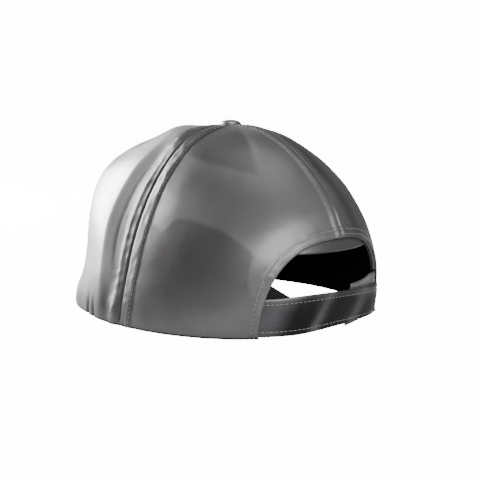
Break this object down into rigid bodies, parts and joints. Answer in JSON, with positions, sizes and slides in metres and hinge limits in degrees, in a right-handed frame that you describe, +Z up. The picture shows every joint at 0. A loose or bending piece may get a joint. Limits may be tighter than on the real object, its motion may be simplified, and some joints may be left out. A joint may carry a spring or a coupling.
{
  "type": "adjustable cap",
  "caption": "Brimless satin cap with a panelled crown, an arched rear opening and a hook-and-loop adjuster strap over a short tab.",
  "frame": {"origin": "centre of the cap's box, on the rim plane", "axes": "+Z up from the rim to the apex, front of the cap towards -Y, wearer's left towards +X"},
  "size_m": [0.175, 0.2176, 0.1207],
  "materials": {
    "satin": "silver grey satin weave with a soft sheen",
    "buckram": "stiff open-weave buckram",
    "lining": "black plain-weave lining",
    "tape": "black folded seam tape",
    "sweatband": "black brushed cotton twill",
    "binding": "black rim binding",
    "loop_pile": "soft loop pile",
    "hook_tape": "hook tape",
    "label": "white woven label",
    "button_metal": "stamped aluminium"
  },
  "bodies": {
    "crown": {"front_left_panel": "satin", "front_right_panel": "satin", "rear_left_panel": "satin", "rear_right_panel": "satin", "front_left_stiffener": "buckram", "front_right_stiffener": "buckram", "front_left_lining": "lining", "front_right_lining": "lining", "rear_left_lining": "lining", "rear_right_lining": "lining", "front_seam_tape": "tape", "left_seam_tape": "tape", "right_seam_tape": "tape", "back_seam_tape": "tape", "opening_facing": "satin", "sweatband": "sweatband", "rim_binding": "binding", "long_strap_root": "satin", "short_tab_root": "satin", "care_label_root": "label", "button_cover": "satin", "button_shell": "button_metal", "button_washer": "button_metal"},
    "long_strap": {"long_strap": "satin", "loop_patch": "loop_pile"},
    "short_tab": {"short_tab": "satin", "hook_patch": "hook_tape"},
    "care_label": {"care_label": "label"}
  },
  "joints": [
    {"name": "strap_fold", "type": "hinge", "parent": "crown", "child": "long_strap", "pos_m": [0.04524, 0.0908, 0.01381], "axis": [0, 0, -1], "range_deg": [0, 80]},
    {"name": "tab_fold", "type": "hinge", "parent": "crown", "child": "short_tab", "pos_m": [-0.04472, 0.0912, 0.01412], "axis": [0, 0, -1], "range_deg": [0, 40]},
    {"name": "label_hang", "type": "hinge", "parent": "crown", "child": "care_label", "pos_m": [0.0765, 0.0088, 0.029], "axis": [0, 1, 0], "range_deg": [0, 70]}
  ]
}
